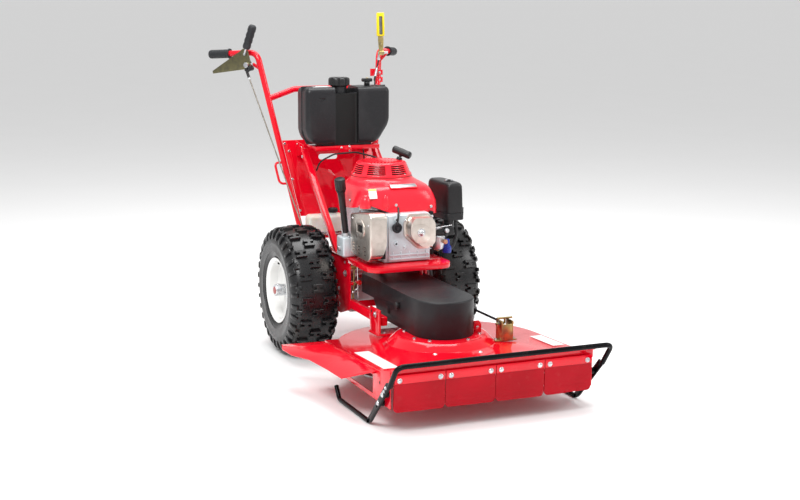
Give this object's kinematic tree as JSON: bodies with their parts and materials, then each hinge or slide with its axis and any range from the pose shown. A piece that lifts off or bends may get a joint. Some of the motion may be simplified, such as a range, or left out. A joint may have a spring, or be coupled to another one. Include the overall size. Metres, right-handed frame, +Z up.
{
  "type": "walk-behind brush mower",
  "caption": "Walk-behind rotary brush mower: engine on a two-wheeled tractor unit, belt-driven front cutting deck with hinged flaps, side chute, handlebar and levers.",
  "frame": {"origin": "bottom centre of the bounding box, on the ground", "axes": "+Z up, +Y towards the operator at the rear, -Y towards the cutting deck, +X towards the operator's left"},
  "size_m": [0.8559, 1.7796, 1.1738],
  "materials": {
    "red_paint": "gloss red powder coat",
    "engine_red": "gloss red engine paint",
    "black_paint": "gloss black paint",
    "satin_black": "satin black powder coat",
    "white_paint": "white paint on pressed steel",
    "tyre_rubber": "moulded tyre rubber",
    "rubber": "soft black rubber",
    "black_plastic": "textured black plastic",
    "milky_plastic": "translucent natural polyethylene",
    "yellow_vinyl": "dipped yellow vinyl",
    "zinc_steel": "clear zinc plated steel",
    "yellow_zinc": "yellow passivated zinc",
    "olive_zinc": "olive passivated zinc",
    "cast_alloy": "as-cast aluminium",
    "champagne": "stamped steel with a champagne coat"
  },
  "bodies": {
    "machine": {"transaxle": "cast_alloy", "main_frame": "red_paint", "engine_plate": "red_paint", "handlebar": "red_paint", "grip_right": "rubber", "grip_left": "rubber", "rear_panel": "red_paint", "tank_tray": "red_paint", "brace_right": "red_paint", "brace_left": "red_paint", "blade_cable": "rubber", "throttle_cable": "rubber", "fuel_tank": "black_plastic", "vent_fitting": "black_plastic", "reservoir": "milky_plastic", "engine_block": "cast_alloy", "rocker_cover": "champagne", "plug_boot": "rubber", "muffler": "champagne", "oil_filler": "black_plastic", "engine_shroud": "engine_red", "recoil_cover": "engine_red", "air_cleaner": "black_plastic", "carburettor": "cast_alloy", "drive_belt": "rubber", "spindle_housing": "cast_alloy", "belt_cover": "satin_black", "deck_shell": "red_paint", "discharge_chute": "red_paint", "front_angle": "red_paint", "guard_bar": "black_paint", "skid_right": "black_paint", "skid_left": "black_paint", "coupler": "red_paint", "stay_bracket": "yellow_zinc", "stay_rod": "black_paint"},
    "wheel_right": {"hub_right": "zinc_steel", "rim_right": "white_paint", "tyre_right": "tyre_rubber"},
    "wheel_left": {"hub_left": "zinc_steel", "rim_left": "white_paint", "tyre_left": "tyre_rubber"},
    "cutter": {"spindle": "zinc_steel", "blade": "zinc_steel"},
    "crank": {"crankshaft": "zinc_steel"},
    "idler": {"idler_arm": "red_paint"},
    "idler_roller": {"idler_pulley": "zinc_steel"},
    "flap_a": {"flap_1": "red_paint"},
    "flap_b": {"flap_2": "red_paint"},
    "flap_c": {"flap_3": "red_paint"},
    "flap_d": {"flap_4": "red_paint"},
    "drive_control": {"drive_lever": "olive_zinc", "drive_lever_grip": "rubber"},
    "control_link": {"control_rod": "zinc_steel"},
    "blade_control": {"blade_lever": "cast_alloy", "blade_lever_grip": "yellow_vinyl"},
    "starter": {"starter_handle": "black_plastic"},
    "tank_cap": {"fuel_cap": "black_plastic"},
    "oil_cap": {"reservoir_cap": "black_plastic"},
    "knob": {"cover_knob": "black_plastic"}
  },
  "joints": [
    {"name": "wheel_right_spin", "type": "hinge", "parent": "machine", "child": "wheel_right", "pos_m": [-0.2316, 0.2088, 0.225], "axis": [1, 0, 0], "continuous": true},
    {"name": "wheel_left_spin", "type": "hinge", "parent": "machine", "child": "wheel_left", "pos_m": [0.3044, 0.2088, 0.225], "axis": [1, 0, 0], "continuous": true},
    {"name": "blade_spin", "type": "hinge", "parent": "machine", "child": "cutter", "pos_m": [0.0364, -0.4232, 0.2455], "axis": [0, 0, 1], "continuous": true},
    {"name": "crank_spin", "type": "hinge", "parent": "machine", "child": "crank", "pos_m": [0.0364, 0.0868, 0.2455], "axis": [0, 0, 1], "continuous": true},
    {"name": "idler_swing", "type": "hinge", "parent": "machine", "child": "idler", "pos_m": [0.1114, -0.0912, 0.278], "axis": [0, 0, 1], "range_deg": [0, 5]},
    {"name": "idler_spin", "type": "hinge", "parent": "idler", "child": "idler_roller", "pos_m": [0.1099, -0.0312, 0.2455], "axis": [0, 0, 1], "continuous": true},
    {"name": "flap_1_swing", "type": "hinge", "parent": "machine", "child": "flap_a", "pos_m": [-0.2096, -0.8047, 0.1735], "axis": [1, 0, 0], "range_deg": [-45, 10]},
    {"name": "flap_2_swing", "type": "hinge", "parent": "machine", "child": "flap_b", "pos_m": [-0.0456, -0.8047, 0.1735], "axis": [1, 0, 0], "range_deg": [-45, 10]},
    {"name": "flap_3_swing", "type": "hinge", "parent": "machine", "child": "flap_c", "pos_m": [0.1184, -0.8047, 0.1735], "axis": [1, 0, 0], "range_deg": [-45, 10]},
    {"name": "flap_4_swing", "type": "hinge", "parent": "machine", "child": "flap_d", "pos_m": [0.2824, -0.8047, 0.1735], "axis": [1, 0, 0], "range_deg": [-45, 10]},
    {"name": "drive_lever_swing", "type": "hinge", "parent": "machine", "child": "drive_control", "pos_m": [-0.2396, 0.7268, 0.98], "axis": [0.783, 0.622, 0], "range_deg": [-20, 20]},
    {"name": "control_rod_swing", "type": "hinge", "parent": "drive_control", "child": "control_link", "pos_m": [-0.25252, 0.71654, 0.962], "axis": [0.783, 0.622, 0], "range_deg": [-20, 20]},
    {"name": "blade_lever_swing", "type": "hinge", "parent": "machine", "child": "blade_control", "pos_m": [0.2724, 0.6638, 1.02], "axis": [1, 0, 0], "range_deg": [0, 40]},
    {"name": "starter_pull", "type": "slide", "parent": "machine", "child": "starter", "axis": [0.3505, -0.1001, 0.9312], "range_m": [0, 0.45], "stiffness_N_per_m": 12, "springref_m": -0.15},
    {"name": "fuel_cap_turn", "type": "hinge", "parent": "machine", "child": "tank_cap", "pos_m": [0.0184, 0.4513, 0.93], "axis": [0, 0, 1], "continuous": true},
    {"name": "reservoir_cap_turn", "type": "hinge", "parent": "machine", "child": "oil_cap", "pos_m": [0.0104, 0.4968, 0.448], "axis": [0, 0, 1], "continuous": true},
    {"name": "cover_knob_turn", "type": "hinge", "parent": "machine", "child": "knob", "pos_m": [-0.0696, -0.3072, 0.258], "axis": [1, 0, 0], "continuous": true}
  ],
  "couplings": [
    {"joint": "crank_spin", "follows": "blade_spin", "ratio": 1.6},
    {"joint": "idler_swing", "follows": "blade_lever_swing", "ratio": 0.125},
    {"joint": "control_rod_swing", "follows": "drive_lever_swing", "ratio": -0.98}
  ]
}
